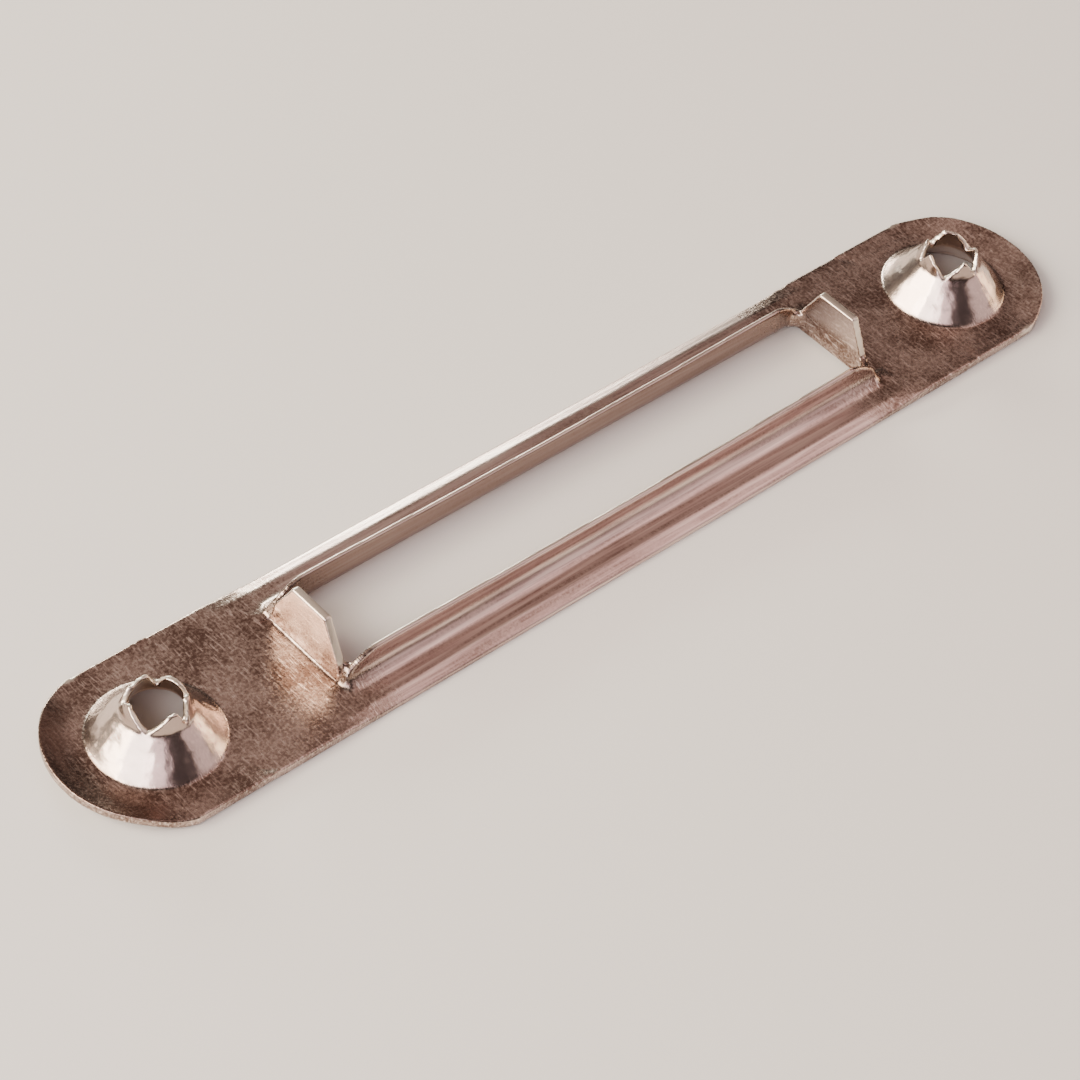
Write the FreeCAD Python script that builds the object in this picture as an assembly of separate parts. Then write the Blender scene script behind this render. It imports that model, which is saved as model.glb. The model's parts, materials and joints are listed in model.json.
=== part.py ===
import FreeCAD, Part
import math
import os

# Door strike plate: one pressed steel sheet, lying on its front face with the folded work facing up.
# X runs along the plate, Y across it, Z up from the front face. Millimetres and degrees.

# Sheet and outline
sheet = 0.8                 # thickness of the flat sheet
plate_length = 107.0        # overall, over the two rounded ends
plate_width = 17.3          # between the straight sides
end_bulge = 0.35            # how much the end radius exceeds half the width
corner_round = 1.0          # where an end arc meets a straight side

# Turned-down margins beside the slot, on the back
margin_run = 58.0           # length over which a margin has its full depth
margin_fade = 5.0           # length over which each of its ends runs out
margin_width = 1.2          # in from the straight side
margin_drop = 0.35          # at the straight side

# Dished rims: round each end the sheet sweeps up to its edge
dish_width = 2.6            # in from the end's arc
dish_rise = 0.45            # at the end's arc
dish_run = 4.0              # along the straight sides, in from the screw axis
dish_fade = 5.0             # length over which it runs out

# Latch slot with its drawn collar
slot_length = 58.9          # between the slot faces of the two end tabs
slot_width = 8.8            # between the slot faces of the two long flanges
slot_shift = 0.45           # of the slot's middle from the plate's middle
slot_corner = 1.4           # inside corners of the slot
flange_wall = 0.8           # thickness of the collar and the tabs
collar_height = 1.5         # above the back face, at the corners of the slot
collar_root = 0.3           # inside of the fold at the slot's ends
mouth_radius = 1.5          # outside of the fold, on the front

# Long flanges
flange_edge = 0.5           # thickness that drawing left at the top edge
flange_root = 1.4           # inside of the fold along the slot
flange_height = 2.3         # above the back face, at the middle of the slot
flange_horn = 0.35          # how much higher the top edge stands where it ends
flange_run = 48.6           # length of the top edge
ramp_height = 1.5           # above the back face, where a ramp meets a tab
ramp_bulge = 0.6            # of a ramp's round shoulder above a straight slope
ramp_toe = 1.5              # length over which a ramp's foot runs out past the slot

# End tabs, lanced from the slot and folded up
tab_height = 5.3            # above the back face
tab_foot = 8.4              # width at the collar
right_tab_trim = 0.8        # off the near side of the right tab's foot
tab_tip = 4.1               # width at the top
left_tab_lean = 1.0         # short of square, towards the slot
right_tab_lean = 7.0        # the other tab sprang back further

# Screw dimples, pressed through from the front
screw_inset = 9.05          # of a screw axis from the end of the plate
dimple_radius = 5.6         # at its foot on the back face
dimple_angle = 82.0         # full angle of the cone, for a flat head screw
dimple_wall = 0.7           # thickness of the stretched cone
dimple_blend = 0.25         # rounding at the foot, on the back and on the front
hole_radius = 2.2           # throat that the screw passes
throat_land = 0.6           # straight length of the throat
lip_wall = 0.7              # thickness of the metal round the throat
petal_height = 1.5          # of the torn lip above the cone
petal_lean = 18.0           # of the lip towards the screw axis
petal_edge = 0.4            # thickness of the torn edge

# Tears in the lip of each dimple: direction about the screw axis, then width at the torn edge
left_tears = ((54.0, 1.5), (138.0, 1.5), (-144.0, 3.4), (-72.0, 1.3), (-14.0, 1.2))
right_tears = ((85.0, 1.8), (-2.0, 2.2), (-79.0, 2.0), (-148.0, 2.9), (150.0, 1.2))

# Worked out from the sizes above
overshoot = 5.0             # how far a cutter runs past what it cuts
slack = 0.01                # within which two positions count as the same
half_length = plate_length / 2
half_width = plate_width / 2
end_radius = half_width + end_bulge
screw_x = half_length - screw_inset
slot_half_x = slot_length / 2
slot_half_y = slot_width / 2
slot_left = slot_shift - slot_half_x
slot_right = slot_shift + slot_half_x
collar_top = sheet + collar_height
tab_top = sheet + tab_height
flange_crest = sheet + flange_height + flange_horn
mouth_bend = mouth_radius * (1 - math.cos(math.radians(45)))
cone_rise = 1 / math.tan(math.radians(dimple_angle / 2))
cone_wall_across = dimple_wall / math.cos(math.radians(dimple_angle / 2))
lip_foot_radius = hole_radius + lip_wall
lip_foot = sheet + (dimple_radius - lip_foot_radius) * cone_rise
lip_top = lip_foot + petal_height
lip_shift = petal_height * math.tan(math.radians(petal_lean))
throat_foot = sheet + (dimple_radius - cone_wall_across - hole_radius) * cone_rise
throat_top = throat_foot + throat_land


def vec(x, y, z=0.0):
    """A point or a direction."""
    return FreeCAD.Vector(x, y, z)


def prism(points, sweep):
    """A closed outline of straight edges, swept along a direction."""
    wire = Part.makePolygon(points + points[:1])
    return Part.Face(wire).extrude(sweep)


def round_rectangle(half_x, half_y, radius, z0, z1):
    """A standing block with rounded upright edges, centred on the slot."""
    corner = vec(slot_shift - half_x, -half_y, z0)
    block = Part.makeBox(2 * half_x, 2 * half_y, z1 - z0, corner)
    upright = [e for e in block.Edges if abs(e.tangentAt(e.FirstParameter).z) > 0.5]
    return block.makeFillet(radius, upright)


def level_edges(shape, z, half_x, half_y):
    """The edges of a shape that lie at one height inside a box about the slot."""
    found = []
    for edge in shape.Edges:
        box = edge.BoundBox
        level = abs(box.ZMin - z) < slack and abs(box.ZMax - z) < slack
        reach_x = max(slot_shift - box.XMin, box.XMax - slot_shift)
        reach_y = max(-box.YMin, box.YMax)
        if level and reach_x < half_x + slack and reach_y < half_y + slack:
            found.append(edge)
    return found


def outline(z0, z1):
    """A standing block with the plate's outline: straight sides and shallow round ends."""
    corner_x = half_length - end_radius + math.sqrt(end_radius ** 2 - half_width ** 2)
    right_end = Part.Arc(vec(corner_x, -half_width, z0), vec(half_length, 0, z0), vec(corner_x, half_width, z0))
    left_end = Part.Arc(vec(-corner_x, half_width, z0), vec(-half_length, 0, z0), vec(-corner_x, -half_width, z0))
    near_side = Part.LineSegment(vec(-corner_x, -half_width, z0), vec(corner_x, -half_width, z0))
    far_side = Part.LineSegment(vec(corner_x, half_width, z0), vec(-corner_x, half_width, z0))
    wire = Part.Wire([side.toShape() for side in (near_side, right_end, far_side, left_end)])
    block = Part.Face(wire).extrude(vec(0, 0, z1 - z0))
    upright = [e for e in block.Edges if abs(e.tangentAt(e.FirstParameter).z) > 0.5]
    return block.makeFillet(corner_round, upright)


def rim_wedges(z):
    """The thin wedges between the flat at one height and the dished rims above it, round both ends."""
    sink = dish_rise / 4
    inner = end_radius - dish_width
    outer = end_radius + corner_round
    sweep = (dish_width ** 2 + dish_rise ** 2) / (2 * dish_rise)
    height = sweep - math.sqrt(sweep ** 2 - (outer - inner) ** 2)
    middle = (outer - inner) / 2
    shoulder = sweep - math.sqrt(sweep ** 2 - middle ** 2)
    wedges = []
    for side in (-1, 1):
        for flank in (-1, 1):
            foot = vec(side * screw_x, flank * inner, z)
            mid = vec(side * screw_x, flank * (inner + middle), z + shoulder)
            tip = vec(side * screw_x, flank * outer, z + height)
            heel = vec(side * screw_x, flank * outer, z)
            edges = [Part.Arc(foot, mid, tip).toShape(), Part.makeLine(tip, heel), Part.makeLine(heel, foot)]
            section = Part.Face(Part.Wire(edges))
            wedges.append(section.extrude(vec(-side * dish_run, 0, 0)))
            fading = section.translated(vec(-side * dish_run, 0, 0))
            wedges.append(fading.extrude(vec(-side * dish_fade, 0, -height - sink)))
            wedges.append(section.revolve(vec(side * screw_x, 0, 0), vec(0, 0, 1), -90 * side * flank))
    return wedges


def blank():
    """The blanked sheet, with dished rims and with its margins turned down beside the slot."""
    shape = outline(0.0, sheet)
    trim = outline(sheet / 2, sheet + overshoot)
    for wedge in rim_wedges(sheet):
        shape = shape.fuse(wedge.common(trim))
    for wedge in rim_wedges(0.0):
        shape = shape.cut(wedge)
    for side in (-1, 1):
        shape = shape.cut(margin_cut(side))
    return shape.removeSplitter()


def margin_cut(side):
    """The wedge that turns one margin down beside the slot, and runs out at both its ends."""
    reach = margin_run / 2
    end = reach + margin_fade
    inner_y = side * (half_width - margin_width)
    outer_y = side * (half_width + margin_width)
    top = sheet + overshoot
    depth = 2 * margin_drop
    spans = ((-end, 0.0), (-reach, depth), (reach, depth), (end, 0.0))
    wires = []
    for x, drop in spans:
        foot = vec(x, inner_y, sheet)
        heel = vec(x, outer_y, sheet - drop)
        points = [foot, heel, vec(x, outer_y, top), vec(x, inner_y, top)]
        wires.append(Part.makePolygon(points + points[:1]))
    return Part.makeLoft(wires, True, True)


def slot_collar(body):
    """Draws the collar up round the slot, with the fold's two radii."""
    wall_x = slot_half_x + flange_wall
    wall_y = slot_half_y + flange_edge
    body = body.fuse(round_rectangle(wall_x, wall_y, slot_corner + flange_edge, 0.0, collar_top))
    body = body.cut(round_rectangle(slot_half_x, slot_half_y, slot_corner, -overshoot, tab_top))
    body = body.removeSplitter()
    body = body.makeFillet(collar_root, level_edges(body, sheet, wall_x, wall_y))
    return body.makeFillet(mouth_radius, level_edges(body, 0.0, slot_half_x, slot_half_y))


def cove(side, start, length, heel_inset, foot):
    """A length of a long flange: its thin wall, the cove at its root and its foot inside the sheet."""
    outer = slot_half_y + flange_edge
    bend = flange_root * (1 - math.cos(math.radians(45)))
    top_in = vec(start, side * slot_half_y, flange_crest)
    top_out = vec(start, side * outer, flange_crest)
    spring = vec(start, side * outer, sheet + flange_root)
    waist = vec(start, side * (outer + bend), sheet + bend)
    toe = vec(start, side * (outer + flange_root), sheet)
    toe_low = vec(start, side * (outer + flange_root), foot)
    heel_low = vec(start, side * (slot_half_y + heel_inset), foot)
    heel = vec(start, side * slot_half_y, mouth_radius)
    edges = [
        Part.makeLine(top_in, top_out),
        Part.makeLine(top_out, spring),
        Part.Arc(spring, waist, toe).toShape(),
        Part.makeLine(toe, toe_low),
        Part.makeLine(toe_low, heel_low),
        Part.makeLine(heel_low, heel),
        Part.makeLine(heel, top_in),
    ]
    return Part.Face(Part.Wire(edges)).extrude(vec(length, 0, 0))


def flange(side):
    """One long flange: a cove along the slot and past its corners, cut to its top edge and ramps."""
    past_slot = flange_wall + ramp_toe
    lap = slot_corner / 4
    toe_foot = (sheet + mouth_bend) / 2
    along = cove(side, slot_left, slot_length, mouth_bend, mouth_bend)
    along = along.fuse(cove(side, slot_left - past_slot, past_slot + lap, 0.0, toe_foot))
    along = along.fuse(cove(side, slot_right - lap, past_slot + lap, 0.0, toe_foot))
    return along.removeSplitter().common(flange_elevation())


def flange_elevation():
    """What a flange keeps, seen from the side: its bowed top edge and a round ramp at each end."""
    y = -half_width
    middle = sheet + flange_height
    ramp_foot = sheet + ramp_height
    left_top = slot_shift - flange_run / 2
    right_top = slot_shift + flange_run / 2
    half_rise = (ramp_foot + flange_crest) / 2 + ramp_bulge
    left_edge = slot_left - flange_wall - ramp_toe
    right_edge = slot_right + flange_wall + ramp_toe
    crown = Part.Arc(vec(left_top, y, flange_crest), vec(slot_shift, y, middle), vec(right_top, y, flange_crest))
    left_ramp = Part.Arc(
        vec(slot_left, y, ramp_foot), vec((slot_left + left_top) / 2, y, half_rise), vec(left_top, y, flange_crest))
    right_ramp = Part.Arc(
        vec(right_top, y, flange_crest), vec((slot_right + right_top) / 2, y, half_rise), vec(slot_right, y, ramp_foot))
    edges = [
        left_ramp.toShape(),
        crown.toShape(),
        right_ramp.toShape(),
        Part.makeLine(vec(slot_right, y, ramp_foot), vec(right_edge, y, sheet)),
        Part.makeLine(vec(right_edge, y, sheet), vec(right_edge, y, 0)),
        Part.makeLine(vec(right_edge, y, 0), vec(left_edge, y, 0)),
        Part.makeLine(vec(left_edge, y, 0), vec(left_edge, y, sheet)),
        Part.makeLine(vec(left_edge, y, sheet), vec(slot_left, y, ramp_foot)),
    ]
    return Part.Face(Part.Wire(edges)).extrude(vec(0, plate_width, 0))


def end_tab(side, angle, trim):
    """One end tab: a tapered tongue that stands on the collar and leans over the slot."""
    seat = sheet / 2
    lean = (tab_top - collar_top) * math.tan(math.radians(angle))
    inner = slot_half_x + side * slot_shift
    outer = inner + flange_wall
    section = [
        vec(side * inner, -tab_foot, seat),
        vec(side * outer, -tab_foot, seat),
        vec(side * outer, -tab_foot, collar_top),
        vec(side * (outer - lean), -tab_foot, tab_top),
        vec(side * (inner - lean), -tab_foot, tab_top),
        vec(side * inner, -tab_foot, collar_top),
    ]
    front = [
        vec(0, trim - tab_foot / 2, seat),
        vec(0, tab_foot / 2, seat),
        vec(0, tab_foot / 2, collar_top),
        vec(0, tab_tip / 2, tab_top),
        vec(0, -tab_tip / 2, tab_top),
        vec(0, trim - tab_foot / 2, collar_top),
    ]
    leaning = prism(section, vec(0, 2 * tab_foot, 0))
    tapered = prism(front, vec(side * half_length, 0, 0))
    return leaning.common(tapered)


def turned(points, x):
    """A profile of radius and height, turned about a screw axis."""
    corners = [vec(r, 0, z) for r, z in points]
    wire = Part.makePolygon(corners + corners[:1])
    solid = Part.Face(wire).revolve(vec(0, 0, 0), vec(0, 0, 1), 360)
    solid.translate(vec(x, 0, 0))
    return solid


def tear(x, direction, width):
    """A wedge that splits the lip of a dimple, from its torn edge down to the cone."""
    reach = dimple_radius
    spread = width / 2 * (petal_height + overshoot) / petal_height
    points = [
        vec(0, 0, lip_foot),
        vec(0, spread, lip_top + overshoot),
        vec(0, -spread, lip_top + overshoot),
    ]
    wedge = prism(points, vec(reach, 0, 0))
    wedge.rotate(vec(0, 0, 0), vec(0, 0, 1), direction)
    wedge.translate(vec(x, 0, 0))
    return wedge


def screw_dimple(body, x, tears):
    """Presses one screw dimple, pierces its throat and tears its lip into petals."""
    mouth = dimple_radius + sheet / cone_rise - cone_wall_across
    back = [
        (0, sheet / 2),
        (dimple_radius, sheet / 2),
        (dimple_radius, sheet),
        (lip_foot_radius, lip_foot),
        (lip_foot_radius - lip_shift, lip_top),
        (0, lip_top),
    ]
    edge_radius = lip_foot_radius - lip_shift - petal_edge
    front = [
        (0, -overshoot),
        (mouth, -overshoot),
        (mouth, 0),
        (hole_radius, throat_foot),
        (hole_radius, throat_top),
        (edge_radius, lip_top),
        (edge_radius, lip_top + overshoot),
        (0, lip_top + overshoot),
    ]
    body = body.fuse(turned(back, x)).cut(turned(front, x))
    feet = []
    for edge in body.Edges:
        if not isinstance(edge.Curve, Part.Circle):
            continue
        centre = edge.Curve.Center
        on_axis = abs(centre.x - x) < slack and abs(centre.y) < slack
        back_foot = abs(centre.z - sheet) < slack and abs(edge.Curve.Radius - dimple_radius) < slack
        front_foot = abs(centre.z) < slack and abs(edge.Curve.Radius - mouth) < slack
        if on_axis and (back_foot or front_foot):
            feet.append(edge)
    body = body.makeFillet(dimple_blend, feet)
    for direction, width in tears:
        body = body.cut(tear(x, direction, width))
    return body


def strike_plate():
    """The whole plate as one folded and pressed sheet."""
    body = slot_collar(blank())
    for side in (-1, 1):
        body = body.fuse(flange(side))
    body = body.fuse(end_tab(-1, left_tab_lean, 0.0))
    body = body.fuse(end_tab(1, right_tab_lean, right_tab_trim))
    body = body.removeSplitter()
    body = screw_dimple(body, -screw_x, left_tears)
    body = screw_dimple(body, screw_x, right_tears)
    return body.Solids[0]


os.makedirs("parts", exist_ok=True)
plate = strike_plate()
plate.exportStep("parts/strike_plate.step")
print("strike_plate", plate.isValid(), round(plate.Volume, 2), "mm3")
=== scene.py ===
import json
import math

import bpy
from bpy.props import FloatProperty, FloatVectorProperty, IntProperty, PointerProperty
from mathutils import Matrix, Vector

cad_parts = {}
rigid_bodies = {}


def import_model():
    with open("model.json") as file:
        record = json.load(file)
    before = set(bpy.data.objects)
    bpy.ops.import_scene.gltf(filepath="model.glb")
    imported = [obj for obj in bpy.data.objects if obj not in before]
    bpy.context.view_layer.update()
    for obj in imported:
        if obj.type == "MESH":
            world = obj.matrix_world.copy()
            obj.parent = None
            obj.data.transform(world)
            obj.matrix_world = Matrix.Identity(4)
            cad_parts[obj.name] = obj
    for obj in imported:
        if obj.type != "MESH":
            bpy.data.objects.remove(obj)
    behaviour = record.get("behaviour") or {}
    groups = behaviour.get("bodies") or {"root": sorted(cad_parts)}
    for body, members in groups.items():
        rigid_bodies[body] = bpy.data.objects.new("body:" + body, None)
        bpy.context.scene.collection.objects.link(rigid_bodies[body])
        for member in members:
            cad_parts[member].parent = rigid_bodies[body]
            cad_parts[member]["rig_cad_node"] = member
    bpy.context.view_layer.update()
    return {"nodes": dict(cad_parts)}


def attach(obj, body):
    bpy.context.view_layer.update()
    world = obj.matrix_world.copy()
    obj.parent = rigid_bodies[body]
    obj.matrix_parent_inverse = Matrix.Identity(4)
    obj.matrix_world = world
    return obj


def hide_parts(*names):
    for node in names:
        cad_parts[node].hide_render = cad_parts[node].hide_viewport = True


bl_info = {
    "name": "Strike Plate",
    "version": (1, 0, 0),
    "blender": (4, 5, 0),
    "location": "View3D > Sidebar > Strike Plate",
    "description": "Dresses the pressed strike plate and sets its stage",
    "category": "Object",
}

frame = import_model()

MM = 0.001

# Places on the plate are in millimetres: x and y from its middle, heights from the floor,
# and reaches from the nearer screw axis. A pair is where a fade or a stretch starts and ends.

# Dimples and torn lips
CONE_FOOT = 0.9
CONE_FADE = (4.6, 5.4)
POLISH_FOOT = 0.7
POLISH_INSIDE = 0.35
POLISH_OUTSIDE = 0.05
THROAT_REACH = 3.7
THROAT_HEIGHTS = (3.3, 4.5)
LIP_REACH = 3.6
LIP_SIDE = 8.0

# Slot, flanges and tabs
FLAT_TOP = 0.8
SLOT_X = 29.0
SLOT_Y = 4.9
ARM_FADE = (25.0, 29.0)
FLANGE_EDGE = 2.6
TAB_X = (27.0, 32.0)
TAB_Y = 4.3
TAB_FADE = (2.5, 3.2)
FOLD_X = (28.4, 33.5)
FOLD_Y = (3.9, 7.4)
TOE_MIDDLE = 0.45
TOE_FADE = (29.7, 30.5)
TOE_X = 34.0
TOE_Y = (3.8, 7.4)
TOE_TOP = 2.4

# Round ends, the painted dark reflection along the left one, and the painted glints at their corners
RIM_TOP = 2.0
RIM_START = 6.4
RIM_WIDTH = 2.6
FLANK_FADE = (3.6, 5.6)
LIFT_FADE = (5.6, 7.8)
DARK_RIM_FADE = (6.3, 7.8)
GLINT_X = 46.6
GLINT_Y = 8.6
GLINT_FOOT = 0.4
GLINT_FADE = (0.15, 0.5)
GLINT_STRETCH = 2.4

# Shares of the way from an end's tip, at nought, round to its side, at one
FLANK_TURN = (0.75, 0.97)
LIFT_TURN = (0.6, 0.95)
DARK_RIM_TURN = (0.75, 0.98)

# Shares of a point's normal that tell a cut edge from a face, an upright wall and a top face
CUT_TURN = (0.3, 0.75)
WALL_TURN = (0.5, 0.9)
TOP_TURN = (0.4, 0.8)

# How strongly each finish, each painted shade and the painted glints show
POLISH_SHARE = 0.82
TAB_POLISH = 0.6
SHEAR_AND_GLINT_SHARE = 0.8
FLANGE_SHEAR = 0.5
LIP_SHADE = 0.5
WALL_SHADE = 0.8
DARK_RIM_SHADE = 0.8

# Sizes of the patterns that push the skin about, in millimetres
TEAR_SIZE = 1.6
PRESSING_SIZE = 2.2
WAVE_SIZE = 9.0
CLOUD_DEPTH = 2

# Sizes of the plating's patterns, in millimetres. Real grain and nicks are finer. They are drawn
# as coarse as they need to be to show in the render.
GRAIN_SIZE = 0.24
BLOTCH_SIZE = 4.0
NICK_SIZE = 0.13
NICK_STRETCH = (1.0, 0.13, 0.4)
DRAW_SIZE = 0.4
DRAW_STRETCH = (0.03, 1.0, 1.0)
BUMP_HEIGHT = 0.025

# A colour Mix node's own sockets, because its other kinds of data have sockets of the same names
MIX_FIRST = 6
MIX_SECOND = 7
MIX_RESULT = 2

# Skin
MERGE_DISTANCE = 0.001
SMOOTH_FACTOR = 0.5
TRIANGLES_PER_FACE = 2
LEAST_REACH = 0.01
TEAR_LEVEL = 0.6
WAVE_LEVEL = 0.5

# Stage, in metres, and the camera's sensor in millimetres
FLOOR_SIZE = 6.0
FLOOR_ROUGHNESS = 0.9
CLIP_START = 0.01
SENSOR_WIDTH = 36.0


def linear(code):
    """An sRGB hex value as the linear colour that a shader takes."""
    values = [int(code[i:i + 2], 16) / 255 for i in (0, 2, 4)]
    return [v / 12.92 if v <= 0.04045 else ((v + 0.055) / 1.055) ** 2.4 for v in values]


def per_mm(size):
    """The texture scale that gives a pattern this size in millimetres."""
    return 1 / (size * MM)


class PlateSettings(bpy.types.PropertyGroup):
    """Sizes and colours of the pressed plate."""

    skin_pitch: FloatProperty(
        name="Skin Pitch", description="Spacing of the points on the plate's first skin",
        default=0.12 * MM, unit="LENGTH")
    skin_faces: IntProperty(
        name="Skin Faces", description="Triangles that the finished skin keeps",
        default=170000)
    edge_softening: IntProperty(
        name="Edge Softening", description="Passes that round the pressed edges",
        default=6)
    fold_softening: IntProperty(
        name="Fold Softening", description="Passes that round the collar's corners and the lips' feet",
        default=14)
    screw_x: FloatProperty(
        name="Screw Place", description="Distance of a screw axis from the middle of the plate",
        default=44.45 * MM, unit="LENGTH")
    dimple_radius: FloatProperty(
        name="Dimple Radius", description="Radius of a screw dimple at its foot",
        default=5.6 * MM, unit="LENGTH")
    lip_foot: FloatProperty(
        name="Lip Foot", description="Height above the floor where the torn lips begin",
        default=3.9 * MM, unit="LENGTH")
    lip_top: FloatProperty(
        name="Lip Top", description="Height above the floor of the torn edges",
        default=5.4 * MM, unit="LENGTH")
    lip_ragging: FloatProperty(
        name="Lip Ragging", description="How far the torn edges run up and down",
        default=0.9 * MM, unit="LENGTH")
    flank_drop: FloatProperty(
        name="Flank Drop", description="How far the rims fall back to flat along the sides",
        default=0.34 * MM, unit="LENGTH")
    end_lift: FloatProperty(
        name="End Lift", description="How far pressing a dimple lifted the rim past it, at the plate's end",
        default=0.27 * MM, unit="LENGTH")
    toe_sink: FloatProperty(
        name="Toe Sink", description="Share of its height that the flat end of a ramp loses",
        default=0.8)
    cone_wave: FloatProperty(
        name="Cone Wave", description="How far pressing left the dimples out of round",
        default=0.16 * MM, unit="LENGTH")
    sheet_wave: FloatProperty(
        name="Sheet Wave", description="How far pressing left the sheet out of flat",
        default=0.06 * MM, unit="LENGTH")
    steel: FloatVectorProperty(
        name="Steel", description="Bright plated steel",
        subtype="COLOR", size=3, default=linear("CCB8AC"))
    # This colour is also laid on as painted shade on the slot's walls and the torn lips, and as a painted
    # dark reflection along the left end's rim.
    stain_and_shade: FloatVectorProperty(
        name="Stain", description="Plating dulled by handling",
        subtype="COLOR", size=3, default=linear("7A645A"))
    scratch: FloatVectorProperty(
        name="Scratch", description="Fresh metal in a scratch",
        subtype="COLOR", size=3, default=linear("EEDCD0"))
    drawn: FloatVectorProperty(
        name="Drawn", description="Steel that the press drew out into the flanges",
        subtype="COLOR", size=3, default=linear("D4BBB4"))
    polished: FloatVectorProperty(
        name="Polished", description="Steel that the punch ironed smooth",
        subtype="COLOR", size=3, default=linear("E2CFC4"))
    # This colour is also laid on as painted glints at three of the plate's corners.
    sheared_and_glint: FloatVectorProperty(
        name="Sheared", description="Fresh metal of a cut or torn edge",
        subtype="COLOR", size=3, default=linear("F6ECDC"))


class StageSettings(bpy.types.PropertyGroup):
    """Floor, lights and camera."""

    floor: FloatVectorProperty(
        name="Floor", description="Pale plain floor",
        subtype="COLOR", size=3, default=linear("E4E2DE"))
    room: FloatVectorProperty(
        name="Room", description="Dim warm room that the plate reflects",
        subtype="COLOR", size=3, default=linear("443A3C"))
    lens: FloatProperty(
        name="Lens", description="Focal length on a 36 mm sensor, in millimetres",
        default=115.03)
    camera_place: FloatVectorProperty(
        name="Camera Place", description="Where the camera stands",
        subtype="TRANSLATION", unit="LENGTH", size=3,
        default=(-153.228 * MM, -137.646 * MM, 204.063 * MM))
    camera_aim: FloatVectorProperty(
        name="Camera Aim", description="The point the camera looks at",
        subtype="TRANSLATION", unit="LENGTH", size=3,
        default=(-6.457 * MM, -2.108 * MM, 0.8 * MM))
    camera_roll: FloatProperty(
        name="Camera Roll", description="Turn of the camera about its own line of sight",
        subtype="ANGLE", default=math.radians(7.77))


def add(tree, kind, links=None, **settings):
    """Adds one node with its settings, and sets or joins its inputs."""
    node = tree.nodes.new(kind)
    for name, value in settings.items():
        setattr(node, name, value)
    for socket, value in (links or {}).items():
        if isinstance(value, bpy.types.NodeSocket):
            tree.links.new(value, node.inputs[socket])
        else:
            node.inputs[socket].default_value = value
    return node


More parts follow.
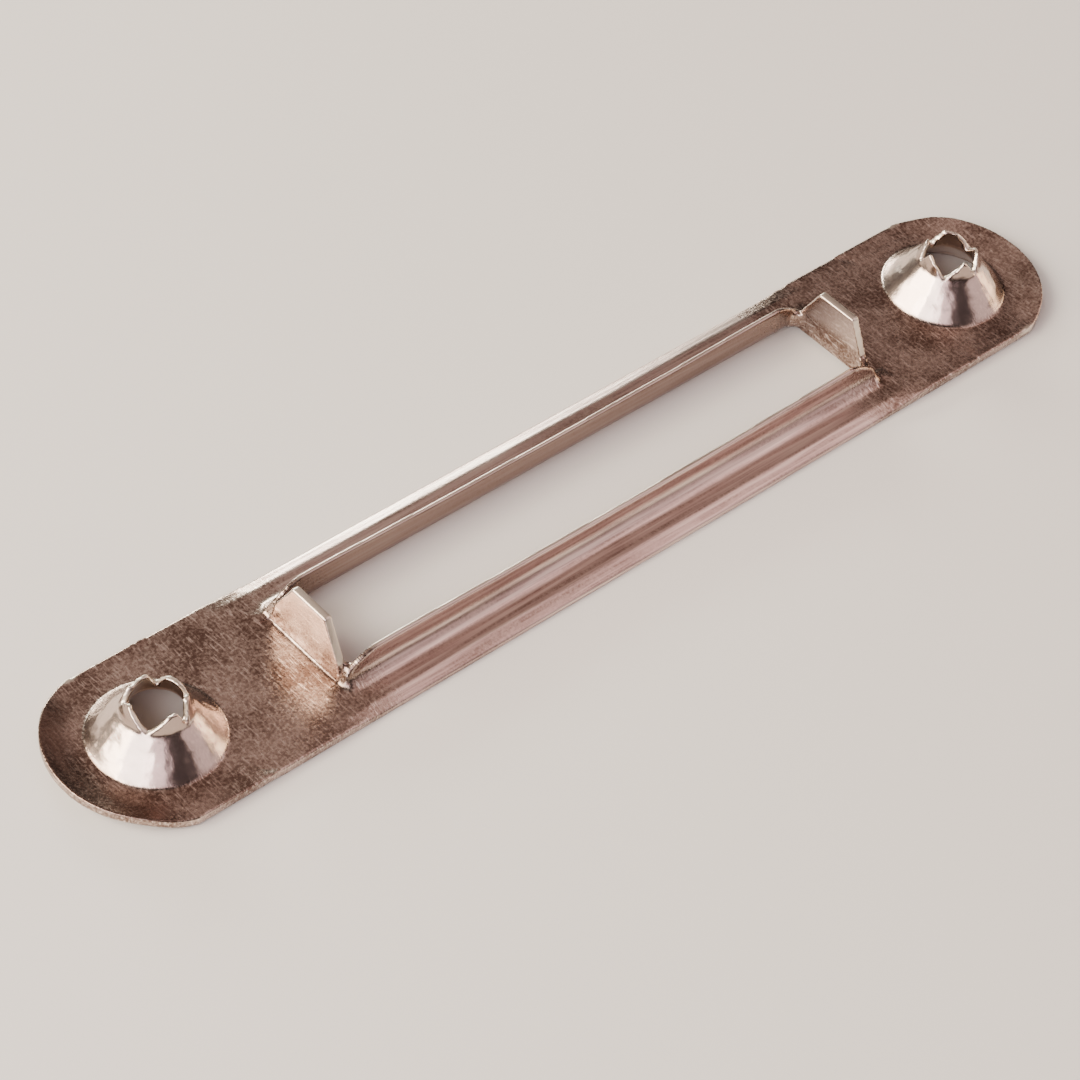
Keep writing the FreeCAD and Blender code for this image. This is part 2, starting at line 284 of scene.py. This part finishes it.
def plated_steel(settings):
    """Plated mild steel, rolled to a sheet and then pressed."""
    material = bpy.data.materials.new("bright_plated_steel")
    material.use_nodes = True
    tree = material.node_tree
    shader = tree.nodes["Principled BSDF"]
    place = add(tree, "ShaderNodeTexCoord").outputs["Object"]
    polish = add(tree, "ShaderNodeAttribute", attribute_name="polish").outputs["Fac"]
    shear_and_glint = add(tree, "ShaderNodeAttribute", attribute_name="shear_and_glint").outputs["Fac"]
    arms = add(tree, "ShaderNodeAttribute", attribute_name="arms").outputs["Fac"]
    painted_shade = add(tree, "ShaderNodeAttribute", attribute_name="painted_shade").outputs["Fac"]

    # To the eye the flats are a blurred brown mirror, blotched by handling, with fine grain and
    # short nicks across the plate. The press drew long streaks along the flanges.
    grain = add(tree, "ShaderNodeTexNoise", {
        "Vector": place, "Scale": per_mm(GRAIN_SIZE), "Detail": 2.0, "Roughness": 0.6}).outputs["Fac"]
    blotch = add(tree, "ShaderNodeTexNoise", {
        "Vector": place, "Scale": per_mm(BLOTCH_SIZE), "Detail": 3.0}).outputs["Fac"]
    across = add(tree, "ShaderNodeMapping", {"Vector": place, "Scale": NICK_STRETCH})
    nicks = add(tree, "ShaderNodeTexNoise", {
        "Vector": across.outputs["Vector"], "Scale": per_mm(NICK_SIZE), "Detail": 1.0}).outputs["Fac"]
    along = add(tree, "ShaderNodeMapping", {"Vector": place, "Scale": DRAW_STRETCH})
    draw = add(tree, "ShaderNodeTexNoise", {
        "Vector": along.outputs["Vector"], "Scale": per_mm(DRAW_SIZE), "Detail": 3.0}).outputs["Fac"]
    tone = add(tree, "ShaderNodeMath", {0: grain, 1: blotch}, operation="ADD").outputs["Value"]
    clean = add(tree, "ShaderNodeMapRange", {
        "Value": tone, "From Min": 0.8, "From Max": 1.26}).outputs["Result"]
    sheen = add(tree, "ShaderNodeMapRange", {
        "Value": draw, "From Min": 0.36, "From Max": 0.54,
        "To Min": 0.3, "To Max": 0.9}).outputs["Result"]
    rubbed = add(tree, "ShaderNodeMapRange", {
        "Value": arms, "To Max": sheen}).outputs["Result"]
    cut = add(tree, "ShaderNodeMapRange", {
        "Value": nicks, "From Min": 0.57, "From Max": 0.72, "To Max": 0.85}).outputs["Result"]
    streak = add(tree, "ShaderNodeMapRange", {
        "Value": draw, "From Min": 0.5, "From Max": 0.64, "To Max": 0.8}).outputs["Result"]
    mark = add(tree, "ShaderNodeMapRange", {
        "Value": arms, "To Min": cut, "To Max": streak}).outputs["Result"]
    colour = (*settings.stain_and_shade, 1.0)
    # The stain colour is also laid on as painted shade and a painted dark reflection, and the sheared
    # colour as painted glints at three corners.
    for factor, layer in (
        (clean, settings.steel),
        (rubbed, settings.drawn),
        (mark, settings.scratch),
        (polish, settings.polished),
        (painted_shade, settings.stain_and_shade),
        (shear_and_glint, settings.sheared_and_glint),
    ):
        mixed = add(tree, "ShaderNodeMix", {
            "Factor": factor, MIX_FIRST: colour, MIX_SECOND: (*layer, 1.0)}, data_type="RGBA")
        colour = mixed.outputs[MIX_RESULT]
    tree.links.new(colour, shader.inputs["Base Color"])

    # The punch ironed the dimples to a clear mirror. Cut and torn edges are bright and matt.
    flat_gloss = add(tree, "ShaderNodeMapRange", {
        "Value": grain, "From Min": 0.3, "From Max": 0.7,
        "To Min": 0.2, "To Max": 0.32}).outputs["Result"]
    arm_gloss = add(tree, "ShaderNodeMapRange", {
        "Value": arms, "To Min": flat_gloss, "To Max": 0.29}).outputs["Result"]
    cone_gloss = add(tree, "ShaderNodeMapRange", {
        "Value": polish, "To Min": arm_gloss, "To Max": 0.2}).outputs["Result"]
    gloss = add(tree, "ShaderNodeMapRange", {
        "Value": shear_and_glint, "To Min": cone_gloss, "To Max": 0.38}).outputs["Result"]
    tree.links.new(gloss, shader.inputs["Roughness"])
    lines = add(tree, "ShaderNodeMapRange", {
        "Value": arms, "To Min": nicks, "To Max": draw}).outputs["Result"]
    relief = add(tree, "ShaderNodeMath", {0: grain, 1: lines}, operation="ADD").outputs["Value"]
    calm = add(tree, "ShaderNodeMapRange", {
        "Value": polish, "To Min": 0.45, "To Max": 0.12}).outputs["Result"]
    bump = add(tree, "ShaderNodeBump", {
        "Height": relief, "Strength": calm, "Distance": BUMP_HEIGHT * MM})
    tree.links.new(bump.outputs["Normal"], shader.inputs["Normal"])
    shader.inputs["Metallic"].default_value = 1.0
    return material


def apply_modifier(piece, name, kind, **settings):
    """Adds a modifier to a piece and applies it."""
    modifier = piece.modifiers.new(name, kind)
    for key, value in settings.items():
        setattr(modifier, key, value)
    bpy.ops.object.modifier_apply(modifier=name)


def clouds(name, size):
    """A soft cloud pattern for pushing a skin about, of one size in millimetres."""
    texture = bpy.data.textures.new(name, "CLOUDS")
    texture.noise_scale = size * MM
    texture.noise_depth = CLOUD_DEPTH
    return texture


def ease(value, low, high):
    """A soft step from nought to one."""
    t = min(1.0, max(0.0, (value - low) / (high - low)))
    return t * t * (3 - 2 * t)


def group_points(plate, settings):
    """Groups the skin's points by the form they belong to, for the modifiers that follow."""
    lips = plate.vertex_groups.new(name="torn lips")
    folds = plate.vertex_groups.new(name="soft folds")
    flanks = plate.vertex_groups.new(name="rim flanks")
    dimples = plate.vertex_groups.new(name="dimples")
    toes = plate.vertex_groups.new(name="ramp toes")
    ends = plate.vertex_groups.new(name="end rims")
    rise = settings.lip_top - settings.lip_foot
    for point in plate.data.vertices:
        x, y, z = point.co / MM
        out_x = abs(x) - settings.screw_x / MM
        reach = math.hypot(out_x, y)
        if out_x > -LIP_SIDE and z * MM > settings.lip_foot:
            lips.add([point.index], min(1.0, (z * MM - settings.lip_foot) / rise), "REPLACE")
        at_fold = FOLD_X[0] < abs(x) < FOLD_X[1] and FOLD_Y[0] < abs(y) < FOLD_Y[1]
        at_throat = reach < THROAT_REACH and THROAT_HEIGHTS[0] < z < THROAT_HEIGHTS[1]
        if at_fold or at_throat:
            folds.add([point.index], 1.0, "REPLACE")
        if reach < CONE_FADE[1] and z > CONE_FOOT:
            dimples.add([point.index], 1 - ease(reach, *CONE_FADE), "REPLACE")
        past = ease(abs(x - TOE_MIDDLE), *TOE_FADE)
        at_toe = abs(x) < TOE_X and TOE_Y[0] < abs(y) < TOE_Y[1] and FLAT_TOP < z < TOE_TOP
        if past > 0 and at_toe:
            toes.add([point.index], past * (z - FLAT_TOP), "REPLACE")
        if out_x > 0 and z < RIM_TOP and reach > LIFT_FADE[0]:
            tip = 1 - ease(abs(y) / reach, *LIFT_TURN)
            ends.add([point.index], tip * ease(reach, *LIFT_FADE), "REPLACE")
        rim = max(0.0, (reach if out_x > 0 else abs(y)) - RIM_START) / RIM_WIDTH
        if z < RIM_TOP and rim > 0 and out_x > -FLANK_FADE[1]:
            side = ease(abs(y) / reach, *FLANK_TURN) if out_x > 0 else 1 - ease(-out_x, *FLANK_FADE)
            flanks.add([point.index], rim * rim * side, "REPLACE")


def mark_finish(plate, settings):
    """Marks on the skin what the punch ironed smooth and what was cut, torn or drawn, and where shade, a
    dark reflection and glints are painted.
    """
    mesh = plate.data
    radius = settings.dimple_radius / MM
    marks = {"polish": [], "shear_and_glint": [], "arms": [], "painted_shade": []}
    for point in mesh.vertices:
        x, y, z = point.co / MM
        way = point.normal
        out_x = abs(x) - settings.screw_x / MM
        reach = max(LEAST_REACH, math.hypot(out_x, y))
        outward = (way.x * math.copysign(out_x, out_x * x) + way.y * y) / reach
        inward = -way.y if y > 0 else way.y
        smooth = 0.0
        torn = 0.0
        painted_shade = 0.0
        if z > POLISH_FOOT:
            smooth = 1 - ease(reach, radius - POLISH_INSIDE, radius + POLISH_OUTSIDE)
        if z > settings.lip_foot / MM and reach < LIP_REACH:
            torn = 1 - ease(abs(outward), *CUT_TURN)
            # Painted shade on the inner and outer faces of the torn lips.
            painted_shade = LIP_SHADE * ease(abs(outward), *WALL_TURN)
        elif z > TAB_FADE[0] and TAB_X[0] < abs(x) < TAB_X[1] and abs(y) < TAB_Y:
            torn = 1 - ease(abs(way.x), *CUT_TURN)
            smooth = TAB_POLISH * ease(z, *TAB_FADE)
        elif z > FLANGE_EDGE and abs(x) < TAB_X[0]:
            torn = FLANGE_SHEAR * (1 - ease(abs(way.y), *CUT_TURN))

        # Painted glints: the sheared colour is laid on at three of the four corners, along the edge.
        glint_reach = math.hypot((abs(x) - GLINT_X) / GLINT_STRETCH, abs(y) - GLINT_Y)
        if z > GLINT_FOOT and (x > 0 or y > 0):
            torn = max(torn, 1 - ease(glint_reach, *GLINT_FADE))

        # Painted shade on the slot's inner walls.
        if abs(x) < SLOT_X and abs(y) < SLOT_Y:
            painted_shade = WALL_SHADE * ease(inward, *WALL_TURN)
        # A painted dark reflection along the left end's rim, on the faces that look up.
        if x < 0 and out_x > 0 and z < RIM_TOP:
            tip = 1 - ease(abs(y) / reach, *DARK_RIM_TURN)
            painted_shade = DARK_RIM_SHADE * tip * ease(reach, *DARK_RIM_FADE) * ease(way.z, *TOP_TURN)
        marks["polish"].append(POLISH_SHARE * smooth)
        marks["shear_and_glint"].append(SHEAR_AND_GLINT_SHARE * torn)
        marks["arms"].append(1 - ease(abs(x), *ARM_FADE))
        marks["painted_shade"].append(painted_shade)
    for name, values in marks.items():
        layer = mesh.attributes.new(name, "FLOAT", "POINT")
        layer.data.foreach_set("value", values)


class STRIKE_OT_pressed_plate(bpy.types.Operator):
    """Skins the pressed plate, tears its lips and gives it its plating"""

    bl_idname = "strike.pressed_plate"
    bl_label = "Pressed Plate"

    def execute(self, context):
        settings = context.scene.strike_plate
        solid = frame["nodes"]["strike_plate"]
        bpy.ops.object.select_all(action="DESELECT")
        solid.select_set(True)
        context.view_layer.objects.active = solid
        bpy.ops.object.duplicate()
        plate = context.view_layer.objects.active
        if plate is solid:
            raise RuntimeError("the plate's solid was not copied")
        plate.name = "pressed_plate"
        del plate["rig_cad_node"]
        bpy.ops.object.mode_set(mode="EDIT")
        bpy.ops.mesh.select_all(action="SELECT")
        bpy.ops.mesh.remove_doubles(threshold=MERGE_DISTANCE * MM)
        bpy.ops.object.mode_set(mode="OBJECT")
        apply_modifier(plate, "skin", "REMESH", mode="VOXEL", voxel_size=settings.skin_pitch)
        apply_modifier(
            plate, "soft edges", "SMOOTH", factor=SMOOTH_FACTOR, iterations=settings.edge_softening)
        group_points(plate, settings)
        apply_modifier(
            plate, "sunk toes", "DISPLACE", direction="Z", strength=-settings.toe_sink * MM,
            mid_level=0.0, vertex_group="ramp toes")
        apply_modifier(
            plate, "lifted ends", "DISPLACE", direction="Z", strength=settings.end_lift,
            mid_level=0.0, vertex_group="end rims")
        apply_modifier(
            plate, "soft folds", "SMOOTH", factor=SMOOTH_FACTOR, iterations=settings.fold_softening,
            vertex_group="soft folds")
        apply_modifier(
            plate, "flat flanks", "DISPLACE", direction="Z", strength=-settings.flank_drop,
            mid_level=0.0, vertex_group="rim flanks")
        apply_modifier(
            plate, "ragging", "DISPLACE", texture=clouds("ragged tear", TEAR_SIZE),
            texture_coords="LOCAL", direction="Z", strength=settings.lip_ragging,
            mid_level=TEAR_LEVEL, vertex_group="torn lips")
        apply_modifier(
            plate, "pressing", "DISPLACE", texture=clouds("uneven pressing", PRESSING_SIZE),
            texture_coords="LOCAL", direction="NORMAL", strength=settings.cone_wave,
            mid_level=WAVE_LEVEL, vertex_group="dimples")
        apply_modifier(
            plate, "wave", "DISPLACE", texture=clouds("sheet wave", WAVE_SIZE),
            texture_coords="LOCAL", direction="Z", strength=settings.sheet_wave,
            mid_level=WAVE_LEVEL)
        share = settings.skin_faces / (TRIANGLES_PER_FACE * len(plate.data.polygons))
        apply_modifier(plate, "thinning", "DECIMATE", ratio=min(1.0, share))
        bpy.ops.object.shade_smooth()
        mark_finish(plate, settings)
        plate.data.materials.clear()
        plate.data.materials.append(plated_steel(settings))
        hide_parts("strike_plate")
        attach(plate, "root")
        return {"FINISHED"}


def softbox(name, azimuth, elevation, distance, width, height, power, colour):
    """One soft light that stands round the plate and faces it."""
    a = math.radians(azimuth)
    e = math.radians(elevation)
    way = Vector((math.cos(a) * math.cos(e), math.sin(a) * math.cos(e), math.sin(e)))
    bpy.ops.object.light_add(type="AREA", location=way * distance)
    lamp = bpy.context.object
    lamp.name = name
    lamp.rotation_mode = "QUATERNION"
    lamp.rotation_quaternion = way.to_track_quat("Z", "Y")
    lamp.data.shape = "RECTANGLE"
    lamp.data.size = width
    lamp.data.size_y = height
    lamp.data.energy = power
    lamp.data.color = linear(colour)


class STRIKE_OT_stage(bpy.types.Operator):
    """Lays the pale floor and sets the lights and the camera"""

    bl_idname = "strike.stage"
    bl_label = "Stage"

    def execute(self, context):
        settings = context.scene.strike_stage
        bpy.ops.object.select_all(action="DESELECT")
        bpy.ops.mesh.primitive_plane_add(size=FLOOR_SIZE)
        floor = context.object
        floor.name = "floor"

        # Painted board: pale and matt, with no mirror of the plate in it.
        paint = bpy.data.materials.new("matt_pale_board")
        paint.use_nodes = True
        shader = paint.node_tree.nodes["Principled BSDF"]
        shader.inputs["Base Color"].default_value = (*settings.floor, 1.0)
        shader.inputs["Roughness"].default_value = FLOOR_ROUGHNESS
        floor.data.materials.append(paint)
        world = bpy.data.worlds.new("room")
        world.use_nodes = True
        back = world.node_tree.nodes["Background"]
        back.inputs["Color"].default_value = (*settings.room, 1.0)
        back.inputs["Strength"].default_value = 1.0
        context.scene.world = world
        softbox(
            "window", azimuth=150, elevation=32, distance=0.7, width=0.6, height=0.42,
            power=11.5, colour="FFF0DA")
        softbox(
            "side", azimuth=195, elevation=34, distance=0.7, width=0.5, height=0.4,
            power=4.4, colour="FFF4F0")
        softbox(
            "near fill", azimuth=228, elevation=36, distance=0.7, width=0.4, height=0.3,
            power=0.9, colour="F0D6DC")
        softbox(
            "low fill", azimuth=-38, elevation=36, distance=0.8, width=0.7, height=0.84,
            power=2.0, colour="F0D6D4")
        softbox(
            "back strip", azimuth=70.5, elevation=15.5, distance=0.7, width=0.36, height=0.1,
            power=3.2, colour="FFFFF2")
        softbox(
            "ceiling", azimuth=40, elevation=64, distance=0.8, width=1.0, height=0.8,
            power=1.22, colour="E6C4B6")
        softbox(
            "arm fill", azimuth=-8, elevation=58, distance=0.8, width=0.36, height=0.36,
            power=0.36, colour="F0D2CE")
        softbox(
            "low lamp", azimuth=-12, elevation=9, distance=0.7, width=0.34, height=0.2,
            power=0.95, colour="FFDCB4")
        bpy.ops.object.camera_add(location=settings.camera_place)
        camera = context.object
        sight = Vector(settings.camera_aim) - Vector(settings.camera_place)
        camera.rotation_mode = "QUATERNION"
        turn = Matrix.Rotation(-settings.camera_roll, 3, sight.normalized())
        level = sight.to_track_quat("-Z", "Y").to_matrix()
        camera.rotation_quaternion = (turn @ level).to_quaternion()
        camera.data.lens = settings.lens
        camera.data.sensor_width = SENSOR_WIDTH
        camera.data.clip_start = CLIP_START
        context.scene.camera = camera
        return {"FINISHED"}


class STRIKE_PT_panel(bpy.types.Panel):
    """Lists the plate's and the stage's operators and settings"""

    bl_idname = "STRIKE_PT_panel"
    bl_label = "Strike Plate"
    bl_space_type = "VIEW_3D"
    bl_region_type = "UI"
    bl_category = "Strike Plate"

    def draw(self, context):
        scene = context.scene
        for operator, settings in (
            (STRIKE_OT_pressed_plate, scene.strike_plate),
            (STRIKE_OT_stage, scene.strike_stage),
        ):
            box = self.layout.box()
            box.operator(operator.bl_idname)
            for name in settings.__annotations__:
                box.prop(settings, name)


classes = (PlateSettings, StageSettings, STRIKE_OT_pressed_plate, STRIKE_OT_stage, STRIKE_PT_panel)


def register():
    for item in classes:
        bpy.utils.register_class(item)
    bpy.types.Scene.strike_plate = PointerProperty(type=PlateSettings)
    bpy.types.Scene.strike_stage = PointerProperty(type=StageSettings)


def unregister():
    del bpy.types.Scene.strike_stage
    del bpy.types.Scene.strike_plate
    for item in reversed(classes):
        bpy.utils.unregister_class(item)


def main():
    """Builds the plate and its stage."""
    register()
    bpy.ops.strike.pressed_plate()
    bpy.ops.strike.stage()


if __name__ == "__main__":
    main()
